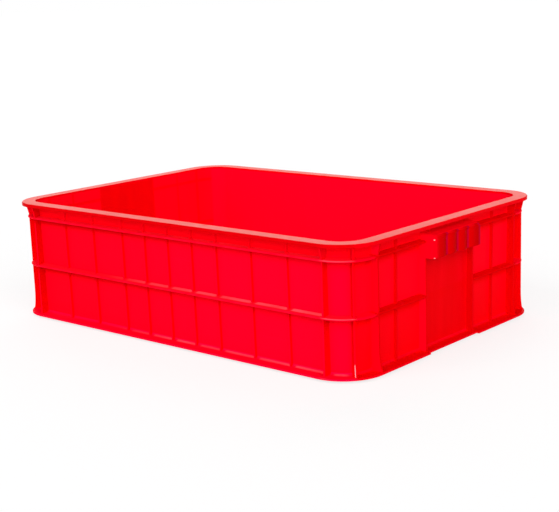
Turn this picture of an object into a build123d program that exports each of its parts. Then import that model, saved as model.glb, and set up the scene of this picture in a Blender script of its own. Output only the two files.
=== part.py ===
from build123d import *
from math import cos, pi, radians, sin, sqrt, tan
import os

# Solid-walled stacking harvest crate, moulded in one shot. The moulding is written region by region:
# thin drafted walls, rim flange, rib rings, rib blades, base flange, stacking foot, two hooded handles.
# Millimetres, +Z up, origin at the bottom centre, +X along the length. "Inset" means the distance
# inward from the outer edge of the rim, measured square to the wall.

# Overall size
length = 610.0            # over the rim, along X
width = 420.0             # over the rim, along Y
stack_pitch = 160.0       # underside of the base flange to the top of the rim
foot_drop = 3.0           # how far the stacking foot stands below the base flange

# Walls and floor
wall_thick = 2.6
wall_inset = 15.9         # outer face of the wall at the top of the rim
wall_draft = 0.9          # degrees, walls lean outward going up
corner_radius = 49.0      # outer edge of the rim
floor_thick = 3.0

# Rim flange
rim_plate = 3.0
rim_lip_high = 4.6
rim_lip_thick = 2.5
rim_chamfer = 0.8

# Rib rings round the wall
ring_inset = 7.0
ring_edge_thick = 2.6
ring_rise = 8.0           # degrees, slope of a ring's top face up to its root
ring_chamfer = 0.7
upper_ring_drop = 20.0    # outer top edge of the upper ring below the top of the rim
mid_ring_lift = 72.3      # outer top edge of the middle ring above the underside of the base flange

# Base flange
flange_inset = 0.8
flange_thick = 2.2
flange_chamfer = 0.7
flange_corner = 54.8      # as corner_radius, carried out to the edge of the rim
flange_setback = 3.7      # flange under each handle stands this much further in
flange_setback_half = 55.0
flange_cove = 3.2         # radius of the cove along the foot of the wall
cove_steps = 3

# Upright blades
shallow_depth = 3.8
shallow_thick = 2.2
deep_thick = 2.5
deep_shy = 0.4            # deep blades stop this far inside the edge of the rings
inner_bay = 42.5          # middle bays of a long wall
inner_bays = 2            # each side of the middle blade
outer_bays = 3            # from there to the deep blade by the corner
end_deep_back = 10.0      # deep blade of an end wall, in from where the corner starts
end_shallow_place = 107.0
blade_top_inset = 3.2     # deep blades run out under the rim
corner_blade_turn = 7.5   # degrees, corner blade turned from the diagonal towards the end
flare_shy = 1.2           # corner blades run out to this far inside the edge of the base flange
flare_high = 28.0
flare_steps = 6

# Handles
hood_half = 54.5          # half width where the hood meets the wall
hood_draw = 2.0           # each side narrows this much towards the front
hood_proud = 4.5          # front of the hood beyond the rim
hood_drop = 14.0          # top edge of the hood's front below the top of the rim
hood_rise = 3.0           # top of the hood rises this much towards the wall
hood_high = 27.5
hood_skin = 2.8
hood_round = 5.5
finger_lobes = 4
finger_pitch = 23.5
finger_depth = 3.0
finger_run_out = 5.0      # height over which the finger grooves fade out below the top edge
cheek_inset = 8.8
short_blade_place = 40.5
short_blade_inset = 11.0

# Stacking foot and underside grid
foot_set_in = 1.2         # foot stands this far inside the wall, to drop into the rim below
foot_thick = 3.2
grid_thick = 2.0
grid_clear = 1.0          # grid ribs end this far above the ground
grid_cells_x = 6
grid_cells_y = 4

# Levels and lines worked out from the sizes above
base_under = foot_drop
flange_top = base_under + flange_thick
rim_top = foot_drop + stack_pitch
rim_under = rim_top - rim_plate
floor_top = base_under + floor_thick
upper_ring_top = rim_top - upper_ring_drop
mid_ring_top = base_under + mid_ring_lift
hood_top_front = rim_top - hood_drop
hood_top_wall = hood_top_front + hood_rise
hood_bottom = hood_top_front - hood_high
half_x = length / 2
half_y = width / 2
tangent_x = half_x - corner_radius
tangent_y = half_y - corner_radius
long_deep_place = tangent_x
end_deep_place = tangent_y - end_deep_back
slope = tan(radians(wall_draft))
deep_inset = ring_inset + deep_shy
big = length + width      # reaches past everything
buried = 12.0             # blades and hoods run this far into the wall before the wall cuts them
past = 1.0                # cutting shapes run this far past what they cut


def wall_inset_at(level):
    return wall_inset + (rim_top - level) * slope


def stacked(*sections, corner=corner_radius):
    # block with round corners whose sides run straight from each (inset, level) to the next
    low, high = sections[0][1], sections[-1][1]
    edge = [(corner - inset, level) for inset, level in sections]
    profile = make_face(Polyline((0, low), *edge, (0, high), close=True))
    mid_x = half_x - corner
    mid_y = half_y - corner
    side = Pos(0, mid_y, 0) * extrude(Plane.YZ * profile, mid_x, both=True)
    end = Pos(mid_x, 0, 0) * extrude(Plane.XZ * profile, mid_y, both=True)
    quarter = revolve(Plane.XZ * profile, Axis.Z, 90)
    one = Pos(mid_x, mid_y, 0) * quarter
    other = Pos(-mid_x, mid_y, 0) * Rot(0, 0, 90) * quarter
    core = block(-mid_x, mid_x, -mid_y, mid_y, low, high)
    return core + [side, end, one, other] + [turned(piece) for piece in (side, end, one, other)]


def drafted(extra):
    # block with the wall's draft, its sides this much inside the outer face of the wall
    return stacked((wall_inset_at(0) + extra, 0), (wall_inset + extra, rim_top))


def block(min_x=-big, max_x=big, min_y=-big, max_y=big, min_z=-big, max_z=big):
    middle = Pos((min_x + max_x) / 2, (min_y + max_y) / 2, (min_z + max_z) / 2)
    return middle * Box(max_x - min_x, max_y - min_y, max_z - min_z)


def rear_of(shape):
    return mirror(shape, about=Plane.XZ)


def left_of(shape):
    return mirror(shape, about=Plane.YZ)


def turned(shape):
    return Rot(0, 0, 180) * shape


nodes = {}


def add_front_and_rear(name, shape):
    nodes["front_" + name] = shape
    nodes["rear_" + name] = rear_of(shape)


def add_both_ends(name, shape):
    nodes["right_" + name] = shape
    nodes["left_" + name] = left_of(shape)


def add_four_corners(name, shape):
    nodes["front_right_" + name] = shape
    nodes["rear_right_" + name] = rear_of(shape)
    nodes["front_left_" + name] = left_of(shape)
    nodes["rear_left_" + name] = turned(shape)


outer_block = drafted(0)
inner_block = drafted(wall_thick)

# Walls: one drafted shell, parted behind the deep blades by the corners
shell = (outer_block - inner_block) & block(min_z=base_under, max_z=rim_under)
add_front_and_rear("wall", shell & block(-long_deep_place, long_deep_place, max_y=0))
add_both_ends("end_wall", shell & block(0, big, -end_deep_place, end_deep_place))
add_four_corners("corner_wall", shell & block(long_deep_place, big, -big, -end_deep_place))

# Base flange: a plate round the foot of the wall, set back under the handles
flange = stacked((flange_inset, base_under), (flange_inset, flange_top - flange_chamfer),
                 (flange_inset + flange_chamfer, flange_top), corner=flange_corner)
setback = block(half_x - flange_inset - flange_setback, big, -flange_setback_half, flange_setback_half)
flange -= setback + left_of(setback)
cove = []
for i in range(cove_steps + 1):
    turn = i / cove_steps * pi / 2
    level = flange_top + flange_cove * (1 - cos(turn))
    cove.append((wall_inset_at(level) - flange_cove * (1 - sin(turn)), level))
flange += stacked(*cove)
flange -= outer_block
nodes["base_flange"] = flange

# Floor, stacking foot and underside grid
nodes["floor_panel"] = inner_block & block(min_z=base_under, max_z=floor_top)
foot_inner = drafted(foot_set_in + foot_thick)
nodes["stacking_foot"] = (drafted(foot_set_in) - foot_inner) & block(min_z=0, max_z=base_under)
grid_step_x = (length - 2 * wall_inset_at(0)) / grid_cells_x
grid_step_y = (width - 2 * wall_inset_at(0)) / grid_cells_y
grid_half = grid_thick / 2
long_bars = []
for i in range(1, grid_cells_y):
    y = (i - grid_cells_y / 2) * grid_step_y
    long_bars.append(block(min_y=y - grid_half, max_y=y + grid_half, min_z=grid_clear, max_z=base_under))
cross_bars = []
for i in range(1, grid_cells_x):
    x = (i - grid_cells_x / 2) * grid_step_x
    cross_bars.append(block(x - grid_half, x + grid_half, min_z=grid_clear, max_z=base_under))
nodes["floor_long_ribs"] = (Part() + long_bars) & foot_inner
nodes["floor_cross_ribs"] = ((Part() + cross_bars) & foot_inner) - long_bars

# Rim flange: a plate with a turned-down lip
lip_under = rim_top - rim_lip_high
rim = stacked((0, lip_under), (0, rim_top - rim_chamfer), (rim_chamfer, rim_top))
nodes["top_rim"] = rim - stacked((rim_lip_thick, 0), (rim_lip_thick, rim_under)) - inner_block

# Handle hood: a rounded box open below, with convex finger lobes on its front
hood_front = half_x + hood_proud
hood_foot = half_x - wall_inset_at(hood_top_wall)
hood_reach = hood_front - hood_foot
hood_back = hood_foot - buried
finger_valley = hood_front - finger_depth


def hood_half_at(x):
    return hood_half - (x - hood_foot) * hood_draw / hood_reach


def hood_top_at(x):
    return hood_top_wall - (x - hood_foot) * hood_rise / hood_reach


def hood_plan(front, shrink, low, high):
    # tapered box that the hood and the cheeks below it share, this much inside the hood's sides
    back_half = hood_half_at(hood_back) - shrink
    front_half = hood_half_at(front) - shrink
    corners = [(hood_back, -back_half), (front, -front_half), (front, front_half), (hood_back, back_half)]
    return Pos(0, 0, low) * extrude(make_face(Polyline(*corners, close=True)), high - low)


def under_hood_top(drop):
    # everything this far below the hood's sloped top
    far = hood_front + past
    far_top = hood_top_at(far) - drop
    back_top = hood_top_at(hood_back) - drop
    corners = [(hood_back, 0), (far, 0), (far, far_top), (hood_back, back_top)]
    return extrude(Plane.XZ * make_face(Polyline(*corners, close=True)), big, both=True)


hood_outer = hood_plan(hood_front, 0, hood_bottom, rim_top) & under_hood_top(0)
hood_corners = hood_outer.edges().filter_by(Axis.Z).group_by(Axis.X)[-1]
hood_top = hood_outer.faces().sort_by(Axis.Z)[-1]
hood_outer = fillet(hood_corners + hood_top.edges().sort_by(Axis.X)[1:], hood_round)
pocket = hood_plan(finger_valley - hood_skin, hood_skin, hood_bottom, rim_top) & under_hood_top(hood_skin)

lobe_radius = ((finger_pitch / 2) ** 2 + finger_depth ** 2) / (2 * finger_depth)
groove_half = (finger_lobes - 1) * finger_pitch / 2
groove_side = [(finger_valley - past, hood_bottom - past), (hood_front + past, hood_bottom - past),
               (hood_front + past, hood_top_front), (finger_valley - past, hood_top_front - finger_run_out)]
grooves = extrude(Plane.XZ * make_face(Polyline(*groove_side, close=True)), groove_half, both=True)
for i in range(finger_lobes):
    y = (i - (finger_lobes - 1) / 2) * finger_pitch
    grooves -= Pos(hood_front - lobe_radius, y, rim_top / 2) * Cylinder(lobe_radius, rim_top)
add_both_ends("handle_hood", hood_outer - grooves - pocket - outer_block)

# Cheeks carry the hood's sides down to the base flange and bound the finger channel
cheeks = hood_plan(hood_front, 0, flange_top, hood_bottom)
cheeks -= hood_plan(hood_front + past, hood_skin, 0, rim_top)
cheeks &= block(max_x=half_x - cheek_inset)
add_both_ends("handle_cheeks", cheeks - outer_block - flange)


# Rib rings: a thin edge with a sloped top face, parted at the handles
def ring(top):
    low = top - ring_edge_thick
    run = wall_inset - ring_inset + buried
    body = stacked((ring_inset + ring_chamfer, low), (ring_inset, low + ring_chamfer),
                   (ring_inset, top - ring_chamfer), (ring_inset + ring_chamfer, top),
                   (ring_inset + run, top + run * tan(radians(ring_rise))))
    return body - outer_block


channel = hood_plan(hood_front, 0, 0, rim_top)
upper_ring = ring(upper_ring_top) - (hood_outer + left_of(hood_outer))
mid_ring = ring(mid_ring_top) - (channel + left_of(channel))
add_front_and_rear("upper_rib", upper_ring & block(max_y=0))
add_front_and_rear("mid_rib", mid_ring & block(max_y=0))


# Blades: upright ribs between base flange and rim, parted by the rings
def blade(points, thick, place):
    # points are (outward, level); place turns outward into the wall's normal
    return place * extrude(Plane.XZ * make_face(Polyline(*points, close=True)), thick / 2, both=True)


def facing(x, y, angle):
    return Pos(x, y, 0) * Rot(0, 0, angle)


def shallow_points(half, depth, low):
    root = half - wall_inset_at(low) - buried
    reach_low = half - wall_inset_at(low) + depth
    reach_high = half - wall_inset_at(rim_under) + depth
    return [(root, low), (reach_low, low), (reach_high, rim_under), (root, rim_under)]


def deep_points(half, foot_inset):
    # a foot inset nearer the rim than the blade's own edge flares the blade's foot out in a curve
    root = half - wall_inset - buried
    edge = []
    for i in range(flare_steps + 1):
        turn = i / flare_steps * pi / 2
        inset = deep_inset - (deep_inset - foot_inset) * (1 - sin(turn))
        edge.append((half - inset, flange_top + flare_high * (1 - cos(turn))))
    if foot_inset == deep_inset:
        edge = [(half - deep_inset, flange_top)]
    top = [(half - deep_inset, upper_ring_top), (half - blade_top_inset, rim_under), (root, rim_under)]
    return [(root, flange_top)] + edge + top


rings = upper_ring + mid_ring
outer_bay = (long_deep_place - inner_bays * inner_bay) / outer_bays
long_places = [0.0]
for i in range(1, inner_bays + outer_bays):
    x = min(i, inner_bays) * inner_bay + max(i - inner_bays, 0) * outer_bay
    long_places += [x, -x]

front_points = shallow_points(half_y, shallow_depth, flange_top)
front_blades = [blade(front_points, shallow_thick, facing(x, 0, -90)) for x in sorted(long_places)]
add_front_and_rear("wall_blades", (Part() + front_blades) - outer_block - rings - flange)

end_points = shallow_points(half_x, shallow_depth, flange_top)
end_blades = [blade(end_points, shallow_thick, facing(0, y, 0))
              for y in (-end_shallow_place, end_shallow_place)]
add_both_ends("end_blades", (Part() + end_blades) - outer_block - rings - flange)

short_points = shallow_points(half_x, wall_inset_at(hood_top_wall) - short_blade_inset, hood_bottom)
short_blades = [blade(short_points, shallow_thick, facing(0, y, 0))
                for y in (-short_blade_place, 0, short_blade_place)]
add_both_ends("hood_blades", (Part() + short_blades) - outer_block - hood_outer - pocket)

flange_corner_inset = flange_inset + (sqrt(2) - 1) * (flange_corner - corner_radius)
long_deep = blade(deep_points(half_y, deep_inset), deep_thick, facing(long_deep_place, 0, -90))
end_deep = blade(deep_points(half_x, flange_inset + flare_shy), deep_thick, facing(0, -end_deep_place, 0))
corner_deep = blade(deep_points(corner_radius, flange_corner_inset + flare_shy), deep_thick,
                    facing(tangent_x, -tangent_y, -45 + corner_blade_turn))
corner_blades = Part() + [long_deep, end_deep, corner_deep]
add_four_corners("corner_blades", corner_blades - outer_block - rings - flange)

os.makedirs("parts", exist_ok=True)
for name, shape in nodes.items():
    print(name, round(shape.volume), len(shape.solids()))
    export_step(shape, "parts/" + name + ".step")
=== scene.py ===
import math
from types import SimpleNamespace

import bpy
from mathutils import Matrix, Vector

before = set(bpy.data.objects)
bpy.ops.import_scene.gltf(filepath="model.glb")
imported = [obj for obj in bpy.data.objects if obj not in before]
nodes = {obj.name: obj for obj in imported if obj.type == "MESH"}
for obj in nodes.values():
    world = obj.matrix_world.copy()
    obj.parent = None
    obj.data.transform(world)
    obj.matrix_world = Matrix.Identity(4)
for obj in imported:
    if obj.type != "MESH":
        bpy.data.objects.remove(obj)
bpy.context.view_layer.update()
print("crate loaded:", len(nodes), "nodes")


class Wire:  # a socket that can be used in sums
    def __init__(self, paint, socket):
        self.paint = paint
        self.socket = socket

    def math(self, operation, first, second=0.0):
        return self.paint.node("ShaderNodeMath", {"operation": operation}, {0: first, 1: second})

    def __add__(self, other):
        return self.math("ADD", self, other)

    def __radd__(self, other):
        return self.math("ADD", other, self)

    def __sub__(self, other):
        return self.math("SUBTRACT", self, other)

    def __rsub__(self, other):
        return self.math("SUBTRACT", other, self)

    def __mul__(self, other):
        return self.math("MULTIPLY", self, other)

    def __rmul__(self, other):
        return self.math("MULTIPLY", other, self)

    def __truediv__(self, other):
        return self.math("DIVIDE", self, other)

    def __rtruediv__(self, other):
        return self.math("DIVIDE", other, self)

    def __abs__(self):
        return self.math("ABSOLUTE", self)

    def sign(self):
        return self.math("SIGN", self)

    def root(self):
        return self.math("SQRT", self)

    def most(self, other):
        return self.math("MAXIMUM", self, other)

    def least(self, other):
        return self.math("MINIMUM", self, other)

    def fraction(self):
        return self.math("FRACT", self)

    def backAndForth(self, reach):
        return self.math("PINGPONG", self, reach)


class Paint:  # one node tree, filled by calling node()
    def __init__(self, tree):
        self.tree = tree
        tree.nodes.clear()

    def node(self, kind, settings=None, sockets=None, out=0):
        made = self.tree.nodes.new(kind)
        for name, value in (settings or {}).items():
            setattr(made, name, value)
        for name, value in (sockets or {}).items():
            if isinstance(value, Wire):
                self.tree.links.new(value.socket, made.inputs[name])
            else:
                made.inputs[name].default_value = value
        return Wire(self, made.outputs[out]) if len(made.outputs) else made

    def step(self, value, low, high):  # from 0 at low to 1 at high, which may be the smaller of the two
        return self.node("ShaderNodeMapRange", {"interpolation_type": "SMOOTHSTEP"},
                         {"Value": value, "From Min": low, "From Max": high})

    def between(self, value, rise, fall):  # two pairs for step
        return self.step(value, *rise) * self.step(value, *fall)

    def near(self, value, middle, reach):  # full over the inner third of the reach
        return self.step(abs(value - middle), reach, reach * 0.3)

    def part(self, vector, axis):
        return self.node("ShaderNodeSeparateXYZ", None, {"Vector": vector}, axis)

    def noise(self, place, scale, detail):
        return self.node("ShaderNodeTexNoise", None, {"Vector": place, "Scale": scale, "Detail": detail})

    def stretched(self, place, scale):
        return self.node("ShaderNodeMapping", None, {"Vector": place, "Scale": scale})

    def blend(self, factor, first, second):  # 6, 7 and 2 are a Mix node's sockets for colours
        return self.node("ShaderNodeMix", {"data_type": "RGBA"}, {0: factor, 6: first, 7: second}, 2)


def paintFor(name):
    material = bpy.data.materials.new(name)
    material.use_nodes = True
    return material, Paint(material.node_tree)


cameraSet = {"place": (1.108615, -1.25209, 0.442883), "azimuth": 41.064, "down": 12.262, "roll": 2.035,
             "lens": 79.06, "sensor": 36.0}


def addCamera():
    azimuth, down, roll = (math.radians(cameraSet[k]) for k in ("azimuth", "down", "roll"))
    level = Vector((math.cos(azimuth), math.sin(azimuth), 0))
    ahead = Vector((-level.y * math.cos(down), level.x * math.cos(down), -math.sin(down)))
    upright = level.cross(ahead)
    right = level * math.cos(roll) - upright * math.sin(roll)
    up = level * math.sin(roll) + upright * math.cos(roll)
    data = bpy.data.cameras.new("photoCamera")
    data.sensor_width = cameraSet["sensor"]
    data.sensor_fit = "HORIZONTAL"
    data.lens = cameraSet["lens"]
    camera = bpy.data.objects.new("photoCamera", data)
    turn = Matrix((right, up, -ahead)).transposed().to_4x4()
    camera.matrix_world = Matrix.Translation(cameraSet["place"]) @ turn
    bpy.context.scene.collection.objects.link(camera)
    bpy.context.scene.camera = camera
    print("camera in place")


white = (1, 1, 1, 1)
skySet = {"strength": 0.30, "seenStrength": 1.0}
lampSet = {"front": {"towards": (-0.22, -0.75, 0.62), "strength": 1.15, "spread": 40.0},
           "side": {"towards": (0.80, -0.34, 0.49), "strength": 1.75, "spread": 50.0},
           "low": {"towards": (0.50, -0.84, 0.16), "strength": 1.25, "spread": 40.0},
           "back": {"towards": (-0.60, 0.66, 0.45), "strength": 1.1, "spread": 60.0}}


def seenRay(paint):  # 1 for what the camera sees, also in a reflection
    rays = ("Is Camera Ray", "Is Glossy Ray", "Is Transmission Ray")
    camera, glossy, through = (paint.node("ShaderNodeLightPath", out=ray) for ray in rays)
    return camera.most(glossy).most(through)


def addLamp(name, settings):
    data = bpy.data.lights.new(name, "SUN")
    data.energy = settings["strength"]
    data.angle = math.radians(settings["spread"])
    lamp = bpy.data.objects.new(name, data)
    lamp.rotation_euler = Vector(settings["towards"]).to_track_quat("Z", "Y").to_euler()
    bpy.context.scene.collection.objects.link(lamp)


def addLight():
    for name, settings in lampSet.items():
        addLamp(name + "Lamp", settings)
    world = bpy.data.worlds.new("studio")
    bpy.context.scene.world = world
    world.use_nodes = True
    paint = Paint(world.node_tree)
    strength = seenRay(paint) * (skySet["seenStrength"] - skySet["strength"]) + skySet["strength"]
    sky = paint.node("ShaderNodeBackground", None, {"Color": white, "Strength": strength})
    paint.node("ShaderNodeOutputWorld", None, {"Surface": sky})
    bpy.context.scene.view_settings.view_transform = "Standard"
    print("lamps and sky set")


groundSet = {"half": 30.0, "colour": 0.72, "seenColour": 1.0, "rough": 0.9, "lift": 0.75}


def addGround():
    half = groundSet["half"]
    corners = [(-half, -half, 0), (half, -half, 0), (half, half, 0), (-half, half, 0)]
    mesh = bpy.data.meshes.new("studioFloor")
    mesh.from_pydata(corners, [], [(0, 1, 2, 3)])
    ground = bpy.data.objects.new("studioFloor", mesh)
    bpy.context.scene.collection.objects.link(ground)
    material, paint = paintFor("studioFloor")
    seen = seenRay(paint)
    pale = seen * (groundSet["seenColour"] - groundSet["colour"]) + groundSet["colour"]
    body = paint.node("ShaderNodeBsdfPrincipled", None,
                      {"Base Color": pale, "Roughness": groundSet["rough"], "Specular IOR Level": 0.0})
    glow = paint.node("ShaderNodeEmission", None, {"Color": white, "Strength": 1.0})
    paper = paint.node("ShaderNodeMixShader", None, {0: seen * groundSet["lift"], 1: body, 2: glow})
    paint.node("ShaderNodeOutputMaterial", None, {"Surface": paper})
    mesh.materials.append(material)
    print("studio floor laid")


def boxOf(name):
    points = [point.co for point in nodes[name].data.vertices]
    return [Vector([pick(point[axis] for point in points) for axis in range(3)]) for pick in (min, max)]


def bladePlaces(name, axis):  # the middle of each blade, from its two faces
    faces = sorted({round(point.co[axis], 4) for point in nodes[name].data.vertices})
    return [(first + second) / 2 for first, second in zip(faces[::2], faces[1::2])]


def off(place, *steps):  # places a few millimetres from one on the crate
    return tuple(place + step for step in steps)


# places on the crate that the finishes are set out from
rimLow, rimHigh = boxOf("top_rim")
hoodLow, hoodHigh = boxOf("right_handle_hood")
lipZ, upperZ, midZ = rimLow.z, boxOf("front_upper_rib")[0].z, boxOf("front_mid_rib")[0].z
footZ = boxOf("base_flange")[0].z
sideEnd, endEnd = boxOf("front_wall")[1].x, boxOf("right_end_wall")[1].y  # where the corners start
sideBlades = bladePlaces("front_wall_blades", 0) + [sideEnd]
endBlade = bladePlaces("right_end_blades", 1)[-1]
print("places read:", len(sideBlades), "blades on the front")

rimSet = {"halfLong": rimHigh.x, "halfWide": rimHigh.y, "corner": rimHigh.x - sideEnd,
          "sideFrom": (0.55, 0.67)}


# inset from the rim's edge, how far a face looks outward, and 1 on a long side
def rimPlace(paint, place, normal):
    corner = rimSet["corner"]
    x, y = paint.part(place, "X"), paint.part(place, "Y")
    overLong = abs(x) - (rimSet["halfLong"] - corner)
    overWide = abs(y) - (rimSet["halfWide"] - corner)
    long, wide = overLong.most(0.0), overWide.most(0.0)
    reach = (long * long + wide * wide).root().most(0.0001)
    inset = corner - reach - overLong.most(overWide).least(0.0)
    outwardX = x.sign() * paint.part(normal, "X") * long
    outwardY = y.sign() * paint.part(normal, "Y") * wide
    return inset, (outwardX + outwardY) / reach, paint.step(wide / reach, *rimSet["sideFrom"])


surfaceSet = {"outward": (0.30, 0.60), "inward": (-0.30, -0.60), "upright": (0.45, 0.85),
              "leftToRight": (-0.30, 0.20), "soft": 2.0, "crisp": 3.0,  # noise detail
              "clouds": 7.0, "patches": 13.0, "patchFrom": (0.50, 0.62),
              "scuffFrom": (0.60, 0.72), "chips": 90.0, "chipFrom": (0.30, 0.62), "level": 0.97,
              "cloudyDustSheen": 0.6, "leastDustSheen": 0.5, "roughFlow": 0.16, "roughScuffs": 0.18, "roughDust": 0.06,
              "smoothWear": 0.05, "flowHigh": 0.8, "scuffDeep": 0.7, "bumpHigh": 0.0002}


def surfaceOf(paint, look):  # where a point is on the crate, which way it faces and its marks of use, with painted sheen and painted highlights among them
    place = paint.node("ShaderNodeTexCoord", out="Object")
    normal = paint.node("ShaderNodeNewGeometry", out="Normal")
    at = SimpleNamespace()
    at.x, at.y, at.z = (paint.part(place, axis) for axis in "XYZ")
    at.across = at.y * at.x.sign()  # along an end, the same for someone who looks at either end
    at.inset, at.outward, at.side = rimPlace(paint, place, normal)
    at.end = 1.0 - at.side
    at.outside = paint.step(at.outward, *surfaceSet["outward"])
    at.inside = paint.step(at.outward, *surfaceSet["inward"])
    at.up = paint.part(normal, "Z")
    soft, crisp = surfaceSet["soft"], surfaceSet["crisp"]
    at.clouds = paint.noise(place, surfaceSet["clouds"], soft)
    at.flow = paint.noise(paint.stretched(place, look["flow"]), 1.0, crisp)
    at.grain = paint.noise(place, look["grain"], soft)
    patches = paint.step(paint.noise(place, surfaceSet["patches"], crisp), *surfaceSet["patchFrom"])
    lines = paint.noise(paint.stretched(place, look["scuffs"]), 1.0, soft)
    at.scuffs = paint.step(lines, *surfaceSet["scuffFrom"]) * patches
    chips = paint.step(paint.noise(place, surfaceSet["chips"], crisp), *surfaceSet["chipFrom"])
    at.edges = paint.step(at.inset, *look["edge"])
    # paler chips along the outer edges of the long sides: wear, and painted edge highlights
    at.wear = at.edges * chips * at.side
    # up-facing faces turn paler: dust, and a painted sheen and painted light from above
    dust = paint.step(at.up, look["dustFrom"], surfaceSet["level"])
    dust = dust * (at.clouds * surfaceSet["cloudyDustSheen"] + surfaceSet["leastDustSheen"])
    at.dust = dust * (at.side * (1.0 - look["endDust"]) + look["endDust"])
    return at


def lightAndShadeTone(paint, at, look):  # painted light and shade: upright faces pale, tops, undersides and flanks deep, the ends and the left of the long sides less pale; 0 is the look's deep red, 1 its pale red
    long = look["leftTone"] + paint.step(at.x, *surfaceSet["leftToRight"]) * (1.0 - look["leftTone"])
    tone = paint.step(abs(at.outward), *surfaceSet["upright"]) * (at.side * long + at.end * look["endTone"])
    return tone + (at.clouds * 0.5 + at.flow * 0.5 - 0.5) * look["vary"]


def mouldedRed(look, colourOf, marksOf=None):
    material, paint = paintFor(look["name"])
    at = surfaceOf(paint, look)
    colour = colourOf(paint, at, look)
    # dust and painted sheen on up-facing faces; on the rim top the painted sheen is salmon
    colour = paint.blend(at.dust * look["dust"], colour, look["dusty"])
    # scuffs are wear; the paler edge chips are wear and painted highlights
    colour = paint.blend(at.scuffs * look["scuffed"] + at.wear * look["worn"], colour, look["rubbed"])
    if marksOf:
        colour = marksOf(paint, at, look, colour)
    rough = look["rough"] + (at.flow - 0.5) * surfaceSet["roughFlow"] + at.scuffs * surfaceSet["roughScuffs"]
    rough = rough + at.dust * surfaceSet["roughDust"] - at.wear * surfaceSet["smoothWear"]
    height = at.grain + at.flow * surfaceSet["flowHigh"] - at.scuffs * surfaceSet["scuffDeep"]
    bump = paint.node("ShaderNodeBump", None,
                      {"Strength": look["bump"], "Distance": surfaceSet["bumpHigh"], "Height": height})
    body = paint.node("ShaderNodeBsdfPrincipled", None,
                      {"Base Color": colour, "Roughness": rough, "Specular IOR Level": look["gloss"],
                       "Specular Tint": look["tint"], "Normal": bump})
    paint.node("ShaderNodeOutputMaterial", None, {"Surface": body})
    return material


# painted shade under the lip and rings and a painted light band below the lip: for each strip where it
# starts to show and where it shows in full, then where it fades out
ringSet = {"lip": off(lipZ, -0.0104, -0.0039),
           "upper": (off(upperZ, -0.0134, -0.0009), off(upperZ, 0.0011, 0.0001)),
           "mid": (off(midZ, -0.0137, -0.0007), off(midZ, 0.0013, 0.0003)),
           "upperClose": (off(upperZ, -0.0104, -0.0019), off(upperZ, 0.0066, 0.0056)),
           "midClose": (off(midZ, -0.0112, -0.0022), off(midZ, 0.0013, 0.0003)),
           "band": off(upperZ, 0.0021, 0.0046), "bandCover": 0.85, "deepen": 0.55,
           "leftward": (-0.15, 0.26), "leftShade": 0.75, "leastShade": 0.2, "flankShade": 0.7,
           "spot": (off(endEnd, 0.017, 0.007), off(endEnd, -0.001, 0.0005)), "spotShade": 0.8}


def underRings(paint, at):  # painted shade: deeper red under the lip and under each ring
    rings = paint.between(at.z, *ringSet["upper"]) + paint.between(at.z, *ringSet["mid"])
    return paint.step(at.z, *ringSet["lip"]) + rings


# with a painted light band below the lip and painted shade close under each ring, on blade flanks and by the
# end's deep blades
def ringedRed(paint, at, look, tone, under):
    colour = paint.blend(tone, look["deep"], look["pale"])
    band = paint.step(at.z, *ringSet["band"]) * at.outside * ringSet["bandCover"]
    colour = paint.blend(band, colour, look["band"])
    close = paint.between(at.z, *ringSet["upperClose"]) + paint.between(at.z, *ringSet["midClose"])
    leftward = paint.step(at.x * at.y.sign(), *ringSet["leftward"])
    face = at.outside * (leftward * ringSet["leftShade"] + ringSet["leastShade"])
    flank = (1.0 - at.outside - at.inside) * ringSet["flankShade"]
    spot = at.outside * paint.between(abs(at.y), *ringSet["spot"]) * ringSet["spotShade"]
    shade = under * close * (at.side * (face + flank) + at.end * spot)
    return paint.blend(shade, colour, look["shade"])


plainLook = {"tint": (1.0, 0.0, 0.1, 1), "grain": 900.0, "dustFrom": 0.30, "endDust": 0.0}

# wall colours: deep and pale red are mixed by painted light and shade, the band colour is painted light, the
# shade colour and the colour of the ends' channel are painted shade, the up-facing colour is dust with a
# painted sheen
wallLook = dict(plainLook, name="wallRed", deep=(0.87, 0.0, 0.0015, 1), pale=(0.99, 0.0, 0.018, 1),
                dusty=(0.97, 0.0, 0.02, 1), rubbed=(0.98, 0.001, 0.03, 1), dull=(0.765, 0.0, 0.002, 1),
                band=(1.0, 0.0, 0.006, 1), shade=(0.58, 0.0, 0.0008, 1), rough=0.42, gloss=0.006, bump=0.25,
                flow=(60.0, 60.0, 5.0), scuffs=(7.0, 7.0, 330.0), edge=(0.0085, 0.0072), vary=0.25,
                leftTone=0.55, endTone=0.45, endDust=1.0, dust=0.4, scuffed=0.2, worn=0.2,
                hoodEdge=off(hoodHigh.y, 0.002, -0.003), upperLine=upperZ + 0.0031, midLine=midZ + 0.0018,
                ringReach=0.0035, bladeReach=0.003, cornerReach=0.004,
                lowHalf=off(midZ, 0.0033, -0.0067), lowDull=0.18, foot=(0.085, 0.005), footDull=0.15,
                hoodThrough=0.7, ribsThrough=0.35, sideLift=0.25, channelFlow=1.2, channelLeast=0.2)


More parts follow.
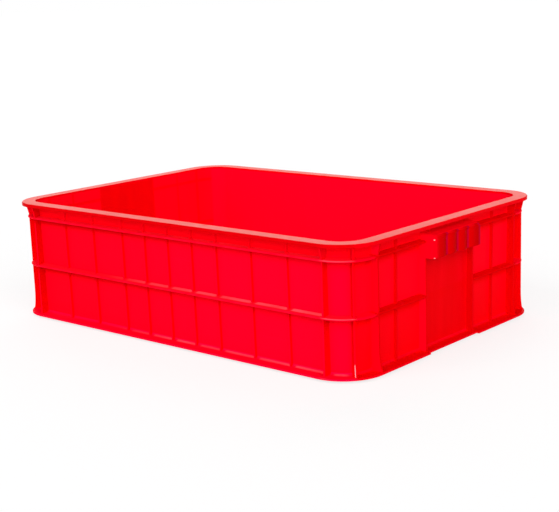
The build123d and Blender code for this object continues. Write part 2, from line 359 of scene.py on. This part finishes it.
def wallColour(paint, at, look):
    under = underRings(paint, at)
    tone = lightAndShadeTone(paint, at, look) - under * at.outside * ringSet["deepen"]
    # painted shade: the ends are darker low down
    low = paint.step(at.z, *look["lowHalf"]) * look["lowDull"]
    low = low + paint.step(at.z, *look["foot"]) * look["footDull"]
    # painted shade on the inside of the ends, where the ribs and hood outside keep the light from shining
    # through
    hood = paint.step(abs(at.y), *look["hoodEdge"])
    rings = paint.near(at.z, look["upperLine"], look["ringReach"])
    rings = rings.most(paint.near(at.z, look["midLine"], look["ringReach"]))
    blades = paint.near(abs(at.y), endBlade, look["bladeReach"])
    blades = blades.most(paint.near(abs(at.y), endEnd, look["cornerReach"]))
    through = hood * look["hoodThrough"] + rings.most(blades) * (1.0 - hood) * look["ribsThrough"]
    tone = tone - at.end * at.outside * low - at.end * at.inside * through
    # painted light: the inside of the long sides is paler
    tone = tone + at.side * at.inside * look["sideLift"]
    colour = ringedRed(paint, at, look, tone, under)
    # painted shade of the hood on the finger channel and behind it inside, in upright streaks
    streaks = at.flow * look["channelFlow"] + look["channelLeast"]
    return paint.blend(at.end * hood * (at.outside + at.inside) * streaks, colour, look["dull"])


# blade colours: deep and pale red are mixed by painted light and shade, the band colour is painted light,
# the shade colour and the colour of the ends' blades are painted shade
bladeLook = dict(plainLook, name="bladeRed", deep=(0.77, 0.0, 0.0013, 1), pale=(0.98, 0.0, 0.018, 1),
                 dusty=(0.97, 0.0, 0.02, 1), rubbed=(0.98, 0.002, 0.03, 1), dull=(0.74, 0.0, 0.001, 1),
                 band=(0.97, 0.0, 0.005, 1), shade=(0.58, 0.0, 0.0008, 1), rough=0.36, gloss=0.003, bump=0.2,
                 flow=(40.0, 40.0, 8.0), scuffs=(60.0, 60.0, 60.0), edge=(0.0080, 0.0070), vary=0.25,
                 leftTone=0.7, endTone=0.25, dust=0.4, scuffed=0.15, worn=0.2,
                 top=off(upperZ, 0.0026, 0.0056), topLift=0.5, endDull=0.75,
                 dullFrom=off(endEnd, 0.009, 0.001))


def bladeTone(paint, at, look, under):  # painted light: between the upper ring and the rim the blades are paler, so they hardly show
    tone = lightAndShadeTone(paint, at, look) - under * at.outside * ringSet["deepen"]
    return tone + paint.step(at.z, *look["top"]) * look["topLift"]


def bladeColour(paint, at, look):
    under = underRings(paint, at)
    colour = ringedRed(paint, at, look, bladeTone(paint, at, look, under), under)
    # painted shade: away from the corners the blades of the ends are darker
    dull = at.end * paint.step(abs(at.y), *look["dullFrom"]) * look["endDull"]
    return paint.blend(dull, colour, look["dull"])


# the dim colour is painted shade, the colour of the corner's light mark a painted highlight
cornerLook = dict(bladeLook, name="cornerRed", deep=(0.79, 0.0, 0.0012, 1), dim=(0.63, 0.0, 0.0008, 1),
                  tick=(1.0, 0.35, 0.40, 1), endTone=0.2, worn=0.05, endDull=0.9, farEnd=(0.05, 0.12),
                  flankLift=0.5, farDrop=0.7, dimming=(-0.05, 0.25), dimGrow=0.55, dimLeast=0.35,
                  dimTo=off(sideEnd, 0.026, 0.014), tickTurn=0.62, tickReach=0.12, tickCorner=(0.40, 0.44),
                  tickHigh=(off(footZ, 0.0030, 0.0040), off(footZ, 0.0185, 0.0165)))


def cornerColour(paint, at, look):
    under = underRings(paint, at)
    far = paint.step(at.across, *look["farEnd"])
    tone = bladeTone(paint, at, look, under)
    # painted light on the near flank of the ends' corner blades, painted shade on the far flank
    tone = tone + at.end * (1.0 - at.outside) * (look["flankLift"] - far * look["farDrop"])
    colour = ringedRed(paint, at, look, tone, under)
    # painted shade on the ends' corner blades
    colour = paint.blend(at.end * at.outside.most(far) * look["endDull"], colour, look["dull"])
    # painted shade on the flanks of the deep blades of the long sides, stronger to the left
    dim = paint.step(at.x * at.y.sign(), *look["dimming"]) * look["dimGrow"] + look["dimLeast"]
    dim = dim * at.side * (1.0 - at.outside) * paint.step(abs(at.x), *look["dimTo"])
    colour = paint.blend(dim, colour, look["dim"])
    # a painted highlight at the foot of the front right corner
    tick = at.outside * paint.near(at.side, look["tickTurn"], look["tickReach"])
    tick = tick * paint.between(at.z, *look["tickHigh"]) * paint.step(at.x - at.y, *look["tickCorner"])
    return paint.blend(tick, colour, look["tick"])


# the colour of the cheeks' far faces is painted shade
cheekLook = dict(bladeLook, name="cheekRed", dull=(0.735, 0.0, 0.0016, 1), endDull=0.9,
                 farCheek=(-0.01, 0.01), flankLift=0.7)


def cheekColour(paint, at, look):  # painted light on the flank of one cheek, as red as the wall, and painted shade on its other faces
    far = paint.step(at.across, *look["farCheek"])
    tone = lightAndShadeTone(paint, at, look) + (1.0 - far) * (1.0 - at.outside) * look["flankLift"]
    colour = paint.blend(tone, look["deep"], look["pale"])
    return paint.blend(far.most(at.outside) * look["endDull"], colour, look["dull"])


# places of the painted highlights on the front ledges
ledgeSet = {"soft": 0.001, "up": (0.2, 0.6), "grow": (-0.14, 0.04), "front": (-0.183, -0.188),
            "upperRing": off((midZ + upperZ) / 2, -0.01, 0.01), "upperFade": 0.9, "upperTurnFade": 0.4,
            "bladeShift": 0.003, "bladeReach": 0.006, "turn": off(sideEnd, -0.006, 0.006),
            "flowGain": 1.4, "flowDrop": 0.15}


def ledgeGlint(paint, at, look, upper=0.0):  # painted highlights: the front ledges shine from the middle to the right corner
    ledge = paint.step(at.inset, *off(look["glintIn"], 0.0, ledgeSet["soft"]))
    ledge = ledge * paint.step(at.up, *ledgeSet["up"]) * paint.step(at.x, *ledgeSet["grow"])
    ledge = ledge * (1.0 - upper * ledgeSet["upperFade"])
    for blade in sideBlades:
        if blade > ledgeSet["grow"][0]:
            gap = paint.near(at.x, blade + ledgeSet["bladeShift"], ledgeSet["bladeReach"])
            ledge = ledge * (1.0 - gap)
    turn = at.edges * paint.step(at.x, *ledgeSet["turn"]) * (1.0 - upper * ledgeSet["upperTurnFade"])
    return ledge, turn


# painted highlights on the front, broken up by the flow noise
def shineOn(paint, at, look, colour, glint):
    glint = glint * paint.step(at.y, *ledgeSet["front"])
    glint = glint * (at.flow * ledgeSet["flowGain"] - ledgeSet["flowDrop"])
    return paint.blend(glint * look["shine"], colour, look["glint"])


# ring colours: the colour of the rings on the ends is painted shade, the glint colour a painted highlight,
# the up-facing colour dust with a painted sheen
ribLook = dict(plainLook, name="ribRed", deep=(0.82, 0.0, 0.0012, 1), pale=(0.98, 0.0, 0.018, 1),
               dusty=(0.97, 0.006, 0.035, 1), rubbed=(0.98, 0.006, 0.04, 1), dull=(0.71, 0.0, 0.0009, 1),
               glint=(0.98, 0.11, 0.15, 1), rough=0.36, gloss=0.003, bump=0.2, flow=(22.0, 22.0, 22.0),
               scuffs=(60.0, 60.0, 60.0), edge=(0.0080, 0.0070), vary=0.25, leftTone=0.7, endTone=0.15,
               dust=0.5, scuffed=0.15, worn=0.4, endDull=0.95, dullFrom=off(endEnd, 0.009, 0.001),
               cornerLift=0.6, glintIn=0.0102, shine=0.95, ledgeTo=off(sideEnd, 0.006, -0.002),
               midEdge=off(midZ, 0.0013, 0.0020), upperEdge=off(upperZ, 0.0016, 0.0009))


def ribColour(paint, at, look):  # painted shade on the rings of the ends; round the corner they are painted as red as the walls
    ofEnd = paint.step(abs(at.y), *look["dullFrom"])
    tone = lightAndShadeTone(paint, at, look) + at.end * (1.0 - ofEnd) * look["cornerLift"]
    colour = paint.blend(tone, look["deep"], look["pale"])
    return paint.blend(at.end * ofEnd * look["endDull"], colour, look["dull"])


def ribMarks(paint, at, look, colour):  # painted highlights; round the corner only the upper edge of a ring shines
    upper = paint.step(at.z, *ledgeSet["upperRing"])
    ledge, turn = ledgeGlint(paint, at, look, upper)
    ledge = ledge * paint.step(at.x, *look["ledgeTo"])
    turn = turn * paint.step(at.z, *look["midEdge"]) * (1.0 - upper * paint.step(at.z, *look["upperEdge"]))
    return shineOn(paint, at, look, colour, ledge.most(turn))


# the glint colour is a painted highlight
flangeLook = dict(plainLook, name="flangeRed", deep=(0.80, 0.0, 0.0012, 1), pale=(0.95, 0.001, 0.042, 1),
                  dusty=(0.96, 0.0, 0.03, 1), rubbed=(0.95, 0.006, 0.035, 1), glint=(0.98, 0.10, 0.14, 1),
                  rough=0.40, gloss=0.003, bump=0.25, flow=(18.0, 18.0, 30.0), scuffs=(9.0, 9.0, 300.0),
                  edge=(0.0026, 0.0012), vary=0.3, leftTone=0.8, endTone=0.2,
                  dust=0.7, scuffed=0.3, worn=0.3, glintIn=0.0148, shine=0.6)


def flangeColour(paint, at, look):
    return paint.blend(lightAndShadeTone(paint, at, look), look["deep"], look["pale"])


# painted highlights on the front of the flange
def flangeMarks(paint, at, look, colour):
    ledge, turn = ledgeGlint(paint, at, look)
    return shineOn(paint, at, look, colour, ledge.most(turn))


# rim colours: the deep red of the lip is painted shade, the salmon up-facing colour is a painted sheen with
# some dust
rimLook = dict(plainLook, name="rimRed", deep=(0.62, 0.0, 0.001, 1), pale=(0.80, 0.0, 0.004, 1),
               dusty=(0.88, 0.30, 0.25, 1), rubbed=(0.88, 0.002, 0.012, 1), rough=0.30, gloss=0.006,
               tint=(1.0, 0.0, 0.05, 1), bump=0.15, flow=(18.0, 18.0, 18.0), scuffs=(55.0, 55.0, 55.0),
               edge=(0.0009, 0.0001), vary=0.5, cloudFrom=0.1, topLift=4.0,
               dustFrom=0.80, endDust=1.0, dust=0.54, scuffed=0.2, worn=0.1)


def rimColour(paint, at, look):  # painted shade: only the lip's outer face is deep red, less so on the ends; painted light makes the rest pale
    tone = (1.0 - at.outside) * look["topLift"] + at.end * at.outside
    tone = tone + (at.clouds - look["cloudFrom"]) * look["vary"]
    return paint.blend(tone, look["deep"], look["pale"])


# hood colours: deep and pale red are mixed by painted light and shade, the turned colour is painted shade,
# the violet colour a painted reflection, the tip colour a painted highlight
hoodLook = dict(plainLook, name="hoodRed", deep=(0.62, 0.0, 0.0008, 1), pale=(1.0, 0.0, 0.011, 1),
                dusty=(0.97, 0.0, 0.006, 1), rubbed=(0.80, 0.0, 0.006, 1), turned=(0.47, 0.0, 0.0006, 1),
                violet=(0.50, 0.0, 0.022, 1), tip=(1.0, 0.40, 0.46, 1), rough=0.20, gloss=0.002, bump=0.1,
                grain=700.0, flow=(30.0, 30.0, 9.0), scuffs=(70.0, 70.0, 70.0), edge=(-0.0036, -0.0044),
                vary=0.15, endDust=1.0, dust=0.8, scuffed=0.1, worn=0.05,
                top=off(hoodHigh.x, -0.0295, -0.0215), nearEdge=(-0.041, -0.051), nearLift=0.6,
                pitch=0.0235, lobeTurn=(0.2, 1.0), lobesFrom=(-0.048, -0.040), lobeShade=0.9,
                groove=(0.0028, 0.0011), grooveTo=(0.036, 0.032), farLine=0.0482, farReach=0.0036,
                tipHigh=hoodHigh.z - 0.0076, tipLow=hoodLow.z + 0.0007, tipAcross=-0.0512,
                tipReach=0.0009, lowReach=0.0007, lowTip=0.8)


def hoodColour(paint, at, look):  # painted light: brighter on top and towards one front corner
    tone = (1.0 - at.outside) * paint.step(abs(at.x), *look["top"]) + (at.clouds - 0.5) * look["vary"]
    tone = tone + at.outside * paint.step(at.across, *look["nearEdge"]) * look["nearLift"]
    return paint.blend(tone, look["deep"], look["pale"])


def hoodMarks(paint, at, look, colour):  # painted shade on the turned side of each lobe, a painted violet reflection in each finger groove, painted highlights at the tips of one corner
    lobe = (at.across / look["pitch"]).fraction()
    turned = paint.step(lobe, *look["lobeTurn"]) * at.outside * paint.step(at.across, *look["lobesFrom"])
    colour = paint.blend(turned * look["lobeShade"], colour, look["turned"])
    groove = paint.step(at.y.backAndForth(look["pitch"] / 2), *look["groove"])
    groove = groove * paint.step(abs(at.y), *look["grooveTo"])
    reflectionLine = groove.most(paint.near(at.across, look["farLine"], look["farReach"]))
    colour = paint.blend(reflectionLine * at.outside, colour, look["violet"])
    tipHighlights = paint.near(at.z, look["tipHigh"], look["tipReach"])
    tipHighlights = tipHighlights + paint.near(at.z, look["tipLow"], look["lowReach"]) * look["lowTip"]
    tipHighlights = tipHighlights * paint.near(at.across, look["tipAcross"], look["tipReach"])
    return paint.blend(tipHighlights, colour, look["tip"])


def finishFor(name):
    if "handle_hood" in name:
        return "hood"
    if name == "top_rim":
        return "rim"
    if name in ("base_flange", "stacking_foot", "floor_long_ribs", "floor_cross_ribs"):
        return "flange"
    if name.endswith("wall") or name == "floor_panel":
        return "wall"
    if name.endswith("corner_blades"):
        return "corner"
    if name.endswith("cheeks"):
        return "cheek"
    return "rib" if name.endswith("rib") else "blade"


finishes = {"wall": mouldedRed(wallLook, wallColour),
            "rib": mouldedRed(ribLook, ribColour, ribMarks),
            "blade": mouldedRed(bladeLook, bladeColour),
            "corner": mouldedRed(cornerLook, cornerColour),
            "cheek": mouldedRed(cheekLook, cheekColour),
            "flange": mouldedRed(flangeLook, flangeColour, flangeMarks),
            "rim": mouldedRed(rimLook, rimColour),
            "hood": mouldedRed(hoodLook, hoodColour, hoodMarks)}
for name, piece in nodes.items():
    piece.data.materials.clear()
    piece.data.materials.append(finishes[finishFor(name)])
print("finishes made:", len(finishes))

addCamera()
addLight()
addGround()

print("crate finished")
